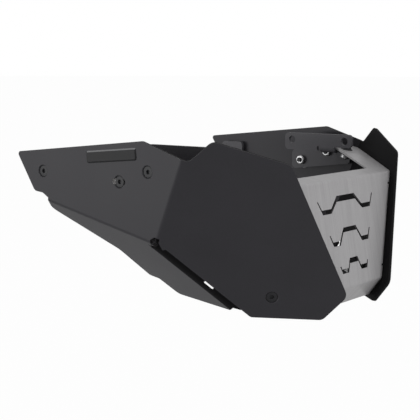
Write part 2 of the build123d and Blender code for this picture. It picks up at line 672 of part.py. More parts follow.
def build_parts():
    """Every piece of the skid plate by name."""
    side = right_side_panel()
    front = front_bracket()
    rear = rear_bracket()
    plate = name_plate()
    sheet_depth = SHEET + SPACER_LENGTH
    side_planes = [at(SIDE_PLANE, place) for place in SIDE_SCREWS_AT]
    corner = at(FRONT_PLANE, CORNER_SCREW_AT)
    studs = [at(FRONT_PLANE, place, SHEET) for place in STUDS_AT]
    shelf_middle = Plane(origin=(REAR_SCREW_AT[0], -REAR_ENGINE_HOLE_Y, REAR_SHELF_FLOOR + BRACKET_SHEET / 2))
    behind_tab = TAB_DEPTH + SHEET
    stud_seat = FRONT_SHEET + STUD_WASHER_THICKNESS
    return {
        "right_side_panel": side,
        "left_side_panel": left(side),
        "front_panel": front_panel(),
        "right_front_bracket": front,
        "left_front_bracket": left(front),
        "right_rear_bracket": rear,
        "left_rear_bracket": left(rear),
        "right_name_plate": plate,
        "left_name_plate": left(plate),
        "side_screws": both_sides([countersunk_screw(plane, SIDE_SCREW_LENGTH) for plane in side_planes]),
        "side_spacers": both_sides([ring(plane.offset(-SHEET), SPACER_DIAMETER, SPACER_BORE, SPACER_LENGTH)
                                    for plane in side_planes]),
        "clinch_nuts": both_sides([clinch_nut(plane.offset(-sheet_depth)) for plane in side_planes]
                                  + [clinch_nut(arm_plane(FRONT_SHEET))]),
        "arm_screws": both_sides([button_screw(arm_plane(), ARM_SCREW_LENGTH)]),
        "corner_screws": both_sides([countersunk_screw(corner, CORNER_SCREW_LENGTH)]),
        "corner_spacers": both_sides([ring(corner.offset(-SHEET), CORNER_SPACER_DIAMETER, SPACER_BORE,
                                           TAB_DEPTH - SHEET)]),
        "corner_washers": both_sides([ring(corner.offset(-behind_tab), WASHER_DIAMETER, THREAD,
                                           WASHER_THICKNESS)]),
        "corner_nuts": both_sides([corner_nut(corner.offset(-behind_tab - WASHER_THICKNESS))]),
        "flange_studs": both_sides([stud(plane) for plane in studs]),
        "stud_washers": both_sides([ring(plane.offset(-FRONT_SHEET), STUD_WASHER_DIAMETER, STUD_DIAMETER,
                                         STUD_WASHER_THICKNESS) for plane in studs]),
        "stud_nuts": both_sides([hexagon_nut(plane.offset(-stud_seat), STUD_NUT_WIDTH, STUD_DIAMETER,
                                             STUD_NUT_HEIGHT) for plane in studs]),
        "rear_grommets": both_sides([grommet(shelf_middle)]),
        "rear_sleeves": both_sides([ring(shelf_middle.offset(SLEEVE_HEIGHT / 2), SLEEVE_DIAMETER, SLEEVE_BORE,
                                         SLEEVE_HEIGHT)]),
    }


def main():
    os.makedirs("parts", exist_ok=True)
    for name, shape in build_parts().items():
        export_step(shape, f"parts/{name}.step")


main()
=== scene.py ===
"""Motorcycle skid plate: finishes, fine hardware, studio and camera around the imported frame.

Everything is in metres and in the frame of the solids: X to the front of the machine, Y to its left and Z up.
"""

import logging
from dataclasses import dataclass, field
from enum import Enum
from math import cos, pi, radians, sin, tan
from typing import Callable, Sequence

import bpy
import numpy as np
from mathutils import Matrix, Vector


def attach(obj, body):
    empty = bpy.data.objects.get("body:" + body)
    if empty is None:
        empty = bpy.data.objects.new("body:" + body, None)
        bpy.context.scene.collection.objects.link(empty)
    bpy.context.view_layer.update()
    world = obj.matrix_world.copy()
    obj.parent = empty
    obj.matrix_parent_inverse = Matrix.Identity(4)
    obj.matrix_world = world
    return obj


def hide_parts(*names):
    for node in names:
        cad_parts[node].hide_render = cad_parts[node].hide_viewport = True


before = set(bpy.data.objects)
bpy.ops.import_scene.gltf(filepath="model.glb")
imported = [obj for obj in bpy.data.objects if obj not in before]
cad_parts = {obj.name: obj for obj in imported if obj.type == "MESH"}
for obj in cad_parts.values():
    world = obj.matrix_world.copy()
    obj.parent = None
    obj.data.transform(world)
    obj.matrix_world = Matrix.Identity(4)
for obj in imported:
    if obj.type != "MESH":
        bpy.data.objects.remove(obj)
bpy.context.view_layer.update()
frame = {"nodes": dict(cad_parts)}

LOG = logging.getLogger("skid_plate")
MM = 0.001
BODY = "root"
TOP_FOLD = (133.0 * MM, 138.9 * MM)
MIDDLE_SCREW = (-21.9 * MM, 139.7 * MM)

WHITE = (1.0, 1.0, 1.0, 1.0)
NOISE_MIDDLE = 0.5
SHARP_ANGLE = radians(35)

Array = np.ndarray
Material = bpy.types.Material
Pair = tuple[float, float]
Point = tuple[float, float, float]
Colour = tuple[float, float, float]


class Slot(Enum):
    """Material slots of the record."""

    COATED_SHEET = "coated_sheet"
    BRUSHED_SHEET = "brushed_sheet"
    BLACK_SCREWS = "black_screws"
    ZINC_HARDWARE = "zinc_hardware"
    RUBBER = "rubber"
    NAME_PLATE = "name_plate"


# Shader maths


@dataclass(eq=False)
class Signal:
    """A shader value that adds a Math node for each operator used on it."""

    board: "Board"
    socket: bpy.types.NodeSocket

    def math(self, operation: str, *values: "Signal | float") -> "Signal":
        """Adds a Math node on the given values and returns its result."""
        return self.board.node("ShaderNodeMath", {"operation": operation}, dict(enumerate(values)))

    def __add__(self, other: "Signal | float") -> "Signal":
        """Sum."""
        return self.math("ADD", self, other)

    __radd__ = __add__

    def __mul__(self, other: "Signal | float") -> "Signal":
        """Product."""
        return self.math("MULTIPLY", self, other)

    __rmul__ = __mul__

    def __sub__(self, other: "Signal | float") -> "Signal":
        """Difference."""
        return self.math("SUBTRACT", self, other)

    def __rsub__(self, other: float) -> "Signal":
        """Difference with the number first."""
        return self.math("SUBTRACT", other, self)

    def __lt__(self, other: "Signal | float") -> "Signal":
        """1 where the value is the smaller one, else 0."""
        return self.math("LESS_THAN", self, other)

    def __gt__(self, other: "Signal | float") -> "Signal":
        """1 where the value is the larger one, else 0."""
        return self.math("GREATER_THAN", self, other)

    def __abs__(self) -> "Signal":
        """Distance from zero."""
        return self.math("ABSOLUTE", self)

    def larger(self, other: "Signal | float") -> "Signal":
        """The larger of two values."""
        return self.math("MAXIMUM", self, other)


class Board:
    """A node tree of a material or of the world."""

    def __init__(self, tree: bpy.types.NodeTree) -> None:
        """Takes a node tree and removes its nodes."""
        self.tree = tree
        self.tree.nodes.clear()

    def feed(self, socket: bpy.types.NodeSocket, value: object) -> None:
        """Links a signal to a socket, or sets the socket's own value.

        Args:
            socket: an input of a node.
            value: a signal, or a value of the socket's own kind.
        """
        if isinstance(value, Signal):
            self.tree.links.new(value.socket, socket)
        else:
            socket.default_value = value

    def node(self, kind: str, settings: dict[str, object], inputs: dict[object, object],
             output: int | str = 0) -> Signal:
        """Adds a node.

        Args:
            kind: Blender's type name of the node.
            settings: properties that are set before the sockets; "stops" are a ramp's positions and colours.
            inputs: values or signals by socket name or number.
            output: name or number of the output that is returned.

        Returns:
            The chosen output as a signal, or one without a socket for a node that has no outputs.
        """
        made = self.tree.nodes.new(kind)
        for key, value in settings.items():
            if key == "stops":
                self._set_stops(made.color_ramp.elements, value)
            else:
                setattr(made, key, value)
        for key, value in inputs.items():
            self.feed(made.inputs[key], value)
        return Signal(self, made.outputs[output] if made.outputs else None)

    @staticmethod
    def _set_stops(elements: bpy.types.ColorRampElements, stops: Sequence[tuple[float, Colour]]) -> None:
        """Gives a new ramp its positions and linear colours, lowest first.

        Args:
            elements: the ramp's elements.
            stops: position and colour of each.
        """
        while len(elements) < len(stops):
            elements.new(1.0)
        for element, (place, colour) in zip(elements, stops):
            element.position = place
            element.color = (*colour, 1.0)

    def seen(self) -> Signal:
        """1 for camera, glossy and transmission rays, and 0 for the rays that carry light.

        Returns:
            The value as a signal.
        """
        rays = [self.node("ShaderNodeLightPath", {}, {}, name)
                for name in ("Is Camera Ray", "Is Glossy Ray", "Is Transmission Ray")]
        return rays[0].larger(rays[1]).larger(rays[2])


class Paint(Board):
    """A material under construction, with its Principled shader."""

    mix_inputs: tuple[int, int] = (6, 7)
    mix_output: int = 2

    def __init__(self, name: str) -> None:
        """Makes an empty material with an output and a Principled shader.

        Args:
            name: the material's name.
        """
        self.material = bpy.data.materials.new(name)
        self.material.use_nodes = True
        super().__init__(self.material.node_tree)
        self.output = self.tree.nodes.new("ShaderNodeOutputMaterial")
        self.shader = self.tree.nodes.new("ShaderNodeBsdfPrincipled")
        self.lit = Signal(self, self.shader.outputs["BSDF"])
        self.feed(self.output.inputs["Surface"], self.lit)

    def ramp(self, value: Signal, spread: Pair, dark: Colour, light: Colour) -> Signal:
        """Colour that goes from dark at the spread's low end to light at its high end."""
        return self.node("ShaderNodeValToRGB", {"stops": tuple(zip(spread, (dark, light)))}, {"Fac": value})

    def blend(self, share: Signal, first: Signal, second: Colour) -> Signal:
        """Colour mixed from a signal and a plain colour; the second one has the given share.

        Args:
            share: 0 for the first colour, 1 for the second.
            first: colour signal.
            second: plain linear colour.

        Returns:
            The mixed colour.
        """
        low, high = self.mix_inputs
        inputs = {"Factor": share, low: first, high: (*second, 1.0)}
        return self.node("ShaderNodeMix", {"data_type": "RGBA"}, inputs, self.mix_output)

    def swing(self, middle: "Signal | float", noise: Signal, change: float) -> Signal:
        """Value that a noise moves to both sides of its middle."""
        return middle + (noise - NOISE_MIDDLE) * change

    def place(self, stretch: Point = (1.0, 1.0, 1.0)) -> Signal:
        """Object coordinates, stretched along the axes by the given factors."""
        coordinates = self.node("ShaderNodeTexCoord", {}, {}, "Object")
        return self.node("ShaderNodeMapping", {}, {"Vector": coordinates, "Scale": stretch})

    def axis(self, name: str) -> Signal:
        """X, Y or Z of the object coordinates, in metres."""
        coordinates = self.node("ShaderNodeTexCoord", {}, {}, "Object")
        return self.node("ShaderNodeSeparateXYZ", {}, {0: coordinates}, name)

    def rise(self) -> Signal:
        """How far the surface looks up, from -1 to 1."""
        normal = self.node("ShaderNodeNewGeometry", {}, {}, "Normal")
        return self.node("ShaderNodeSeparateXYZ", {}, {0: normal}, "Z")

    def noise(self, at: Signal, cell: float, detail: float = 2.0, roughness: float = 0.5) -> Signal:
        """Noise from 0 to 1 whose cells have a size in metres, with finer octaves of the given strength."""
        inputs = {"Vector": at, "Scale": 1 / cell, "Detail": detail, "Roughness": roughness}
        return self.node("ShaderNodeTexNoise", {"noise_dimensions": "3D"}, inputs)

    def bump(self, height: Signal, distance: float) -> Signal:
        """Surface normal raised by a height signal, in metres times distance."""
        return self.node("ShaderNodeBump", {}, {"Height": height, "Distance": distance})

    def finish(self, **sockets: object) -> Material:
        """Feeds the shader's sockets and returns the material.

        Args:
            **sockets: values or signals by socket name, with underscores for spaces.

        Returns:
            The finished material.
        """
        for key, value in sockets.items():
            self.feed(self.shader.inputs[key.replace("_", " ")], value)
        return self.material


# Finishes


@dataclass(frozen=True)
class Facet:
    """Outer face of a folded sheet of the right side panel."""

    through: Vector
    out: Vector


@dataclass(frozen=True)
class SidePanelFacets:
    """Outer faces of the right side panel, as the solids have them."""

    half_width: float = 174.5 * MM
    front_fold: Pair = (58.3 * MM, 165.4 * MM)
    front_lean: float = radians(21.8)
    front_bend: float = radians(40.2)
    lower_fold: Pair = (17.8 * MM, 82.3 * MM)
    lower_slope: float = radians(12.7)
    lower_bend: float = radians(48.6)

    def side(self) -> Facet:
        """Upright side facet."""
        return Facet(Vector((0, -self.half_width, 0)), Vector((0, -1, 0)))

    def front_axes(self) -> tuple[Vector, Vector]:
        """Directions down the front fold and away from it across the front flap.

        Returns:
            Two unit vectors at right angles.
        """
        fold = Vector((-sin(self.front_lean), 0, -cos(self.front_lean)))
        level = Vector((cos(self.front_lean), 0, -sin(self.front_lean)))
        return fold, level * cos(self.front_bend) + Vector((0, 1, 0)) * sin(self.front_bend)

    def front(self) -> Facet:
        """Front flap.

        Returns:
            The facet; its outward direction is the cross product of the two directions in it.
        """
        fold, across = self.front_axes()
        x, z = self.front_fold
        return Facet(Vector((x, -self.half_width, z)), fold.cross(across))

    def lower(self) -> Facet:
        """Lower flap.

        Returns:
            The facet; its outward direction is the side's, turned down by the bend.
        """
        down = Vector((-sin(self.lower_slope), 0, -cos(self.lower_slope)))
        out = Vector((0, -1, 0)) * cos(self.lower_bend) + down * sin(self.lower_bend)
        x, z = self.lower_fold
        return Facet(Vector((x, -self.half_width, z)), out)

    def all(self) -> tuple[Facet, Facet, Facet]:
        """Side facet, front flap and lower flap."""
        return self.side(), self.front(), self.lower()

    def corner(self, depth: float) -> Vector:
        """Point that is so far inside all three facets.

        Args:
            depth: distance from each outer face.

        Returns:
            The point where the three planes moved inward meet.
        """
        facets = self.all()
        reach = Vector([facet.through.dot(facet.out) - depth for facet in facets])
        return Matrix([facet.out for facet in facets]).inverted() @ reach


@dataclass(frozen=True)
class PowderCoat:
    """Satin black coat with a fine even grain.

    It carries painted shade, a matt near-black colour, on cut edges, on the inner face of the front flap and
    on the tab behind the slit, and is worn bare at the ends of the adjusting slot of each side panel.
    """

    facets: SidePanelFacets
    name: str = "powder_coat"
    dark: Colour = (0.0198, 0.0192, 0.0216)
    light: Colour = (0.0262, 0.0254, 0.0290)
    spread: Pair = (0.3, 0.7)
    roughness: float = 0.5
    specular: float = 0.12
    gloss_change: float = 0.08
    grain_size: float = 0.9 * MM
    grain_height: float = 0.02 * MM
    grain_detail: float = 3.0
    grain_octaves: float = 0.6
    grain_share: float = 0.6
    cloud_size: float = 60 * MM
    # painted shade: matt near-black colour for cut edges and the front flap's inner face
    painted_shade: Colour = (0.0036, 0.0034, 0.0039)
    painted_shade_roughness: float = 0.85
    painted_shade_depth: float = 0.7 * MM
    sheet: float = 3 * MM
    sheet_margin: float = 0.1 * MM
    # depths of the tab behind the slit, which gets painted shade
    shaded_tab_depths: Pair = (5.0 * MM, 11.3 * MM)
    bare: Colour = (0.62, 0.61, 0.60)
    bare_roughness: float = 0.42
    slot_at: Pair = MIDDLE_SCREW
    slot_reach: Pair = (6.9 * MM, 8.9 * MM)
    slot_half_height: float = 3.2 * MM
    slot_depths: Pair = (0.3 * MM, 3.2 * MM)

    def make(self) -> Material:
        """Builds the material.

        Returns:
            The coat, with masks from the depths behind the three facets.
        """
        paint = Paint(self.name)
        at = paint.place()
        grain = paint.noise(at, self.grain_size, self.grain_detail, self.grain_octaves)
        cloud = paint.noise(at, self.cloud_size)
        tone = grain * self.grain_share + cloud * (1 - self.grain_share)
        coat = paint.ramp(tone, self.spread, self.dark, self.light)
        gloss = paint.swing(paint.swing(self.roughness, cloud, self.gloss_change), grain, self.gloss_change)
        side, front, lower = (self._depth(paint, facet) for facet in self.facets.all())
        # painted shade mask: deep in the sheet, less the inner faces of the side facet and the lower flap
        within = (side > self.painted_shade_depth) * (front > self.painted_shade_depth) * (lower > self.painted_shade_depth)
        inner = within * (1 - self._inner_face(side)) * (1 - self._inner_face(lower))
        # painted shade also goes on the tab behind the slit
        nearest, farthest = self.shaded_tab_depths
        painted_shade = inner.larger((front > nearest) * (front < farthest) * (side > nearest))
        worn = self._slot_ends(paint, side)
        colour = paint.blend(worn, paint.blend(painted_shade, coat, self.painted_shade), self.bare)
        rough = (gloss * (1 - painted_shade) + painted_shade * self.painted_shade_roughness) * (1 - worn) + worn * self.bare_roughness
        return paint.finish(Base_Color=colour, Roughness=rough, Metallic=worn,
                            Normal=paint.bump(grain, self.grain_height), Specular_IOR_Level=self.specular)

    @staticmethod
    def _depth(paint: Paint, facet: Facet) -> Signal:
        """Distance inward from a facet's outer face, on the right side and mirrored on the left.

        Args:
            paint: the material.
            facet: a facet of the right side panel.

        Returns:
            The depth in metres.
        """
        out = facet.out
        reach = facet.through.dot(out)
        return reach - (paint.axis("X") * out.x - abs(paint.axis("Y")) * out.y + paint.axis("Z") * out.z)

    def _inner_face(self, depth: Signal) -> Signal:
        """1 on the inner face of a facet, one sheet thickness behind its outer face."""
        return (depth > self.sheet - self.sheet_margin) * (depth < self.sheet + self.sheet_margin)

    def _slot_ends(self, paint: Paint, depth: Signal) -> Signal:
        """1 on the walls at the two ends of the adjusting slot.

        Args:
            paint: the material.
            depth: depth behind the side facet.

        Returns:
            The mask.
        """
        away = abs(paint.axis("X") - self.slot_at[0])
        level = abs(paint.axis("Z") - self.slot_at[1])
        ends = (away > self.slot_reach[0]) * (away < self.slot_reach[1]) * (level < self.slot_half_height)
        return ends * (depth > self.slot_depths[0]) * (depth < self.slot_depths[1])


@dataclass(frozen=True)
class BrushedSheet:
    """Bare sheet with fine streaks brushed down its length, and painted shade on the walls of its slots."""

    name: str = "brushed_sheet"
    dark: Colour = (0.29, 0.285, 0.290)
    light: Colour = (0.41, 0.403, 0.410)
    spread: Pair = (0.32, 0.68)
    roughness: float = 0.44
    roughness_change: float = 0.14
    metallic: float = 0.15
    specular: float = 0.12
    streak_width: float = 0.5 * MM
    streak_length: float = 60 * MM
    streak_depth: float = 0.02 * MM
    streak_detail: float = 4.0
    streak_octaves: float = 0.7
    streak_share: float = 0.7
    band_width: float = 9 * MM
    band_shortness: float = 8.0
    # painted shade colour for the walls of the slots
    cut: Colour = (0.03, 0.029, 0.03)
    cut_depths: Pair = (0.25 * MM, 1.95 * MM)
    face_top: Pair = TOP_FOLD
    face_lean: float = radians(10)
    slots_down: Pair = (14 * MM, 106 * MM)
    slots_reach: float = 75 * MM
    slots_taper: float = 0.45

    def make(self) -> Material:
        """Builds the material; the streak noise is stretched along X and Z.

        Returns:
            The brushed metal.
        """
        paint = Paint(self.name)
        slow = self.streak_width / self.streak_length
        slower = slow * self.band_shortness
        fine = paint.noise(paint.place((slow, 1.0, slow)), self.streak_width, self.streak_detail,
                           self.streak_octaves)
        broad = paint.noise(paint.place((slower, 1.0, slower)), self.band_width)
        streak = fine * self.streak_share + broad * (1 - self.streak_share)
        brushed = paint.ramp(streak, self.spread, self.dark, self.light)
        # painted shade on the slot walls
        colour = paint.blend(self._slot_walls(paint), brushed, self.cut)
        rough = paint.swing(self.roughness, streak, self.roughness_change)
        return paint.finish(Base_Color=colour, Roughness=rough, Normal=paint.bump(fine, self.streak_depth),
                            Metallic=self.metallic, Specular_IOR_Level=self.specular)

    def _slot_walls(self, paint: Paint) -> Signal:
        """1 inside the sheet of the face in the tapered part with the slots, where only their walls lie.

        Args:
            paint: the material.

        Returns:
            The mask.
        """
        ahead = paint.axis("X") - self.face_top[0]
        below = self.face_top[1] - paint.axis("Z")
        depth = below * sin(self.face_lean) - ahead * cos(self.face_lean)
        down = below * cos(self.face_lean) + ahead * sin(self.face_lean)
        within = (depth > self.cut_depths[0]) * (depth < self.cut_depths[1])
        level = (down > self.slots_down[0]) * (down < self.slots_down[1])
        return within * level * (abs(paint.axis("Y")) < self.slots_reach - down * self.slots_taper)


@dataclass(frozen=True)
class Grained:
    """Black rubber, plastic or coat with a fine grain, and a painted highlight on faces that look up where
    one is given.
    """

    name: str
    dark: Colour
    light: Colour
    roughness: float
    metallic: float = 0.0
    specular: float = 0.3
    grain_size: float = 0.5 * MM
    grain_gloss: float = 0.1
    grain_height: float = 0.03 * MM
    grain_detail: float = 3.0
    grain_octaves: float = 0.5
    spread: Pair = (0.3, 0.7)
    # painted highlight colour for faces that look up
    painted_highlight: Colour | None = None
    painted_highlight_rise: float = 0.4

    def make(self) -> Material:
        """Builds the material.

        Returns:
            The grained finish.
        """
        paint = Paint(self.name)
        grain = paint.noise(paint.place(), self.grain_size, self.grain_detail, self.grain_octaves)
        colour = paint.ramp(grain, self.spread, self.dark, self.light)
        # painted highlight: lighter colour on faces that look up, where light from above falls
        if self.painted_highlight is not None:
            colour = paint.blend(paint.rise() > self.painted_highlight_rise, colour, self.painted_highlight)
        rough = paint.swing(self.roughness, grain, self.grain_gloss)
        return paint.finish(Base_Color=colour, Roughness=rough, Normal=paint.bump(grain, self.grain_height),
                            Metallic=self.metallic, Specular_IOR_Level=self.specular)


@dataclass(frozen=True)
class Metal(Grained):
    """Plated or blackened steel with slight mottling."""

    metallic: float = 1.0
    specular: float = 0.5
    grain_size: float = 2.0 * MM
    grain_gloss: float = 0.12
    grain_height: float = 0.004 * MM
    grain_detail: float = 4.0
    grain_octaves: float = 0.6
    spread: Pair = (0.35, 0.65)


@dataclass(frozen=True)
class StageWhite:
    """Pale floor that is seen nearly white, with the object's shadow still on it."""

    name: str = "stage_white"
    colour: Colour = (0.42, 0.42, 0.42)
    roughness: float = 0.9
    shadowless: float = 0.98

    def make(self) -> Material:
        """Builds the material: a plain diffuse floor, mixed with white for the rays that see it.

        Returns:
            The floor's white.
        """
        paint = Paint(self.name)
        white = paint.node("ShaderNodeEmission", {}, {"Color": WHITE, "Strength": 1.0})
        share = paint.seen() * self.shadowless
        mixed = paint.node("ShaderNodeMixShader", {}, {0: share, 1: paint.lit, 2: white})
        paint.feed(paint.output.inputs["Surface"], mixed)
        return paint.finish(Base_Color=(*self.colour, 1.0), Roughness=self.roughness, Specular_IOR_Level=0.0)


# Surfaces


@dataclass
class Surface:
    """A mesh in the making: points and faces as whole arrays."""

    points: Array
    faces: list[Array]

    def placed(self, place: Matrix) -> "Surface":
        """The surface moved by a frame whose determinant is positive."""
        turn = np.array(place.to_3x3())
        return Surface(self.points @ turn.T + np.array(place.translation), self.faces)

    def mirrored(self) -> "Surface":
        """The surface on the other side of Y = 0, with its faces turned the right way again."""
        return Surface(self.points * np.array([1.0, -1.0, 1.0]), [face[:, ::-1] for face in self.faces])

    @staticmethod
    def joined(surfaces: Sequence["Surface"]) -> "Surface":
        """Several surfaces as one, without merging their points.

        Args:
            surfaces: the surfaces, in order.

        Returns:
            The whole.
        """
        starts = np.cumsum([0] + [len(surface.points) for surface in surfaces[:-1]])
        faces = [face + start for surface, start in zip(surfaces, starts) for face in surface.faces]
        return Surface(np.concatenate([surface.points for surface in surfaces]), faces)

    def to_object(self, name: str) -> bpy.types.Object:
        """Makes the Blender object.

        Args:
            name: name of the object and mesh.

        Returns:
            The object, linked to the scene, at the origin.
        """
        mesh = bpy.data.meshes.new(name)
        polygons = [row for face in self.faces for row in face.tolist()]
        mesh.from_pydata(self.points.tolist(), [], polygons)
        mesh.update()
        mesh.shade_smooth()
        mesh.set_sharp_from_angle(angle=SHARP_ANGLE)
        made = bpy.data.objects.new(name, mesh)
        bpy.context.scene.collection.objects.link(made)
        return made


def turned(radius: Callable[[Array, Array], Array], height: Array, segments: int) -> Surface:
    """Closed surface round the Z axis.

    The point for angle a and row k is (r cos a, r sin a, height k), with r = radius(a, k). The first and the
    last row have no radius and become one point each. Faces point outwards when the profile goes from the
    bottom, out and up to the top.

    Args:
        radius: function of the angle and row number, both as column and row arrays.
        height: height of each row.
        segments: number of points round each row.

    Returns:
        The surface.
    """
    rows = len(height)
    angle = (np.arange(segments) * 2 * pi / segments)[None, :]
    row = np.arange(rows)[:, None]
    reach = np.broadcast_to(radius(angle, row), (rows, segments))
    level = np.broadcast_to(height[:, None], reach.shape)
    grid = np.stack([reach * np.cos(angle), reach * np.sin(angle), level], -1)
    inner = grid[1:-1].reshape(-1, 3)
    ends = np.array([[0.0, 0.0, height[0]], [0.0, 0.0, height[-1]]])
    points = np.concatenate([inner, ends])
    start = np.arange(rows - 3)[:, None] * segments
    here = np.arange(segments)[None, :]
    following = (here + 1) % segments
    above = start + segments
    quads = np.stack([start + here, start + following, above + following, above + here], -1)
    last = (rows - 3) * segments
    low = np.stack([following[0], here[0], np.full(segments, len(inner))], -1)
    high = np.stack([last + here[0], last + following[0], np.full(segments, len(inner) + 1)], -1)
    return Surface(points, [quads.reshape(-1, 4), low, high])


def round_profile(corners: Sequence[Point], steps: int = 4, most: float = 0.48) -> Array:
    """Open profile with rounded corners.

    Each inner corner is replaced by a quadratic curve from the point one radius before it to the point one
    radius after it: (1 - t)^2 before + 2 t (1 - t) corner + t^2 after, for t from 0 to 1.

    Args:
        corners: radius from the axis, height and rounding of each corner.
        steps: number of spans of each rounding.
        most: largest share of a side that a rounding takes.

    Returns:
        Points as an array of radius and height.
    """
    points = np.array([corner[:2] for corner in corners], float)
    made = [points[:1]]
    t = np.linspace(0.0, 1.0, steps + 1)[:, None]
    for before, corner, after, (_, _, rounding) in zip(points, points[1:], points[2:], corners[1:]):
        if rounding:
            back = before - corner
            ahead = after - corner
            start = corner + back * min(most, rounding / np.linalg.norm(back))
            end = corner + ahead * min(most, rounding / np.linalg.norm(ahead))
            made.append((1 - t) ** 2 * start + 2 * t * (1 - t) * corner + t ** 2 * end)
        else:
            made.append(corner[None])
    made.append(points[-1:])
    return np.concatenate(made)


def hexagon(angle: Array) -> Array:
    """Radius of a hexagon with flats at distance 1: 1 / cos of the angle from the nearest flat's middle."""
    return 1 / np.cos((angle + pi / 6) % (pi / 3) - pi / 6)


def ring(outer: float, bore: float, height: float, rounding: float, segments: int = 48) -> Surface:
    """Ring from Z = 0 up, with rounded edges.

    The profile is a closed loop carried round the axis, so the surface is a torus grid with no poles.

    Args:
        outer: outer radius.
        bore: inner radius.
        height: height of the ring.
        rounding: rounding of the outer edges; the inner ones have half of it.
        segments: number of points round the ring.

    Returns:
        The surface.
    """
    middle = (outer + bore) / 2
    loop = [(middle, 0, 0), (outer, 0, rounding), (outer, height, rounding), (bore, height, rounding / 2),
            (bore, 0, rounding / 2), (middle, 0, 0)]
    return carried(round_profile(loop, steps=3)[:-1], segments)


def carried(profile: Array, segments: int, radius: Callable[[Array, Array], Array] | None = None) -> Surface:
    """Closed loop profile carried round the Z axis.

    The point for angle a and loop point k is (r cos a, r sin a, z) with r and z from the profile, or with
    r = radius(a, r) where a function is given.

    Args:
        profile: radius and height of each point of the loop.
        segments: number of points round the axis.
        radius: function of the angle and the profile's radius.

    Returns:
        The surface.
    """
    count = len(profile)
    angle = (np.arange(segments) * 2 * pi / segments)[None, :]
    reach = np.broadcast_to(profile[:, :1], (count, segments))
    if radius is not None:
        reach = radius(angle, reach)
    level = np.broadcast_to(profile[:, 1:], (count, segments))
    points = np.stack([reach * np.cos(angle), reach * np.sin(angle), level], -1).reshape(-1, 3)
    row = np.arange(count)[:, None]
    here = np.arange(segments)[None, :]
    ahead = (here + 1) % segments
    over = (row + 1) % count
    quads = [row * segments + here, row * segments + ahead, over * segments + ahead, over * segments + here]
    return Surface(points, [np.stack(np.broadcast_arrays(*quads), -1).reshape(-1, 4)])


@dataclass(frozen=True)
class Thread:
    """Rolled thread of a screw or stud."""

    radius: float
    depth: float
    pitch: float
    steps_per_turn: int = 6
    segments: int = 24

    def rod(self, low: float, high: float) -> Surface:
        """Rod with a helical thread, closed at both ends and drawn in at the lower, free one.

        The radius is the outer radius less depth times a triangle wave of (height / pitch - angle / full
        turn), which rises from 0 on the crest to 1 at the root.

        Args:
            low: height of the free end.
            high: height of the other end.

        Returns:
            The surface.
        """
        steps = round((high - low) / self.pitch * self.steps_per_turn)
        height = np.concatenate([[low], np.linspace(low, high, steps + 1), [high]])
        chamfer = np.clip(1 - (height - low) / self.pitch, 0, 1)[:, None] * self.depth

        def reach(angle: Array, row: Array) -> Array:
            """Radius of each point.

            Args:
                angle: angle round the axis.
                row: number of the row; not used.

            Returns:
                The radii, none at the two ends.
            """
            phase = (height[:, None] / self.pitch - angle / (2 * pi)) % 1.0
            wave = np.abs(2 * phase - 1)
            made = self.radius - np.maximum(self.depth * wave, chamfer)
            made[[0, -1]] = 0.0
            return made

        return turned(reach, height, self.segments)


M5_FINE = Thread(radius=2.5 * MM, depth=0.45 * MM, pitch=0.8 * MM)
M6 = Thread(radius=3.0 * MM, depth=0.55 * MM, pitch=1.0 * MM)


# Places on the sheet metal


@dataclass(frozen=True)
class SheetPlaces:
    """Frames on the facets of the right side panel and on the top plate."""

    facets: SidePanelFacets
    sheet: float = 3.0 * MM
    top_fold: Pair = TOP_FOLD
    top_rise: float = radians(13.1)

    @staticmethod
    def facing(origin: Vector, out: Vector, across: Vector) -> Matrix:
        """Frame at a point of a face whose Z axis points out of it and whose X axis runs across it."""
        turn = Matrix((across, out.cross(across), out)).transposed()
        return Matrix.Translation(origin) @ turn.to_4x4()

    def on_side(self, x: float, z: float, depth: float = 0.0) -> Matrix:
        """Frame on the right side facet, so far inside its outer face.

        Args:
            x: place to the front.
            z: height.
            depth: distance behind the outer face.

        Returns:
            The frame.
        """
        side = self.facets.side()
        origin = side.through + Vector((x, 0, z)) - side.out * depth
        return self.facing(origin, side.out, Vector((1, 0, 0)))

    def on_front_flap(self, down: float, away: float, depth: float = 0.0) -> Matrix:
        """Frame on the right front flap, given down its fold and away from it.

        Args:
            down: distance down the fold.
            away: distance from the fold.
            depth: distance behind the outer face.

        Returns:
            The frame.
        """
        front = self.facets.front()
        fold, across = self.facets.front_axes()
        origin = front.through + fold * down + across * away - front.out * depth
        return self.facing(origin, front.out, fold)

    def on_top_plate(self, x: float, y: float, depth: float = 0.0) -> Matrix:
        """Frame on the top plate above a given X and Y.

        Args:
            x: place to the front.
            y: place to the left.
            depth: distance below the upper face.

        Returns:
            The frame.
        """
        out = Vector((sin(self.top_rise), 0, cos(self.top_rise)))
        height = self.top_fold[1] + (self.top_fold[0] - x) * tan(self.top_rise)
        return self.facing(Vector((x, y, height)) - out * depth, out, Vector((0, 1, 0)))


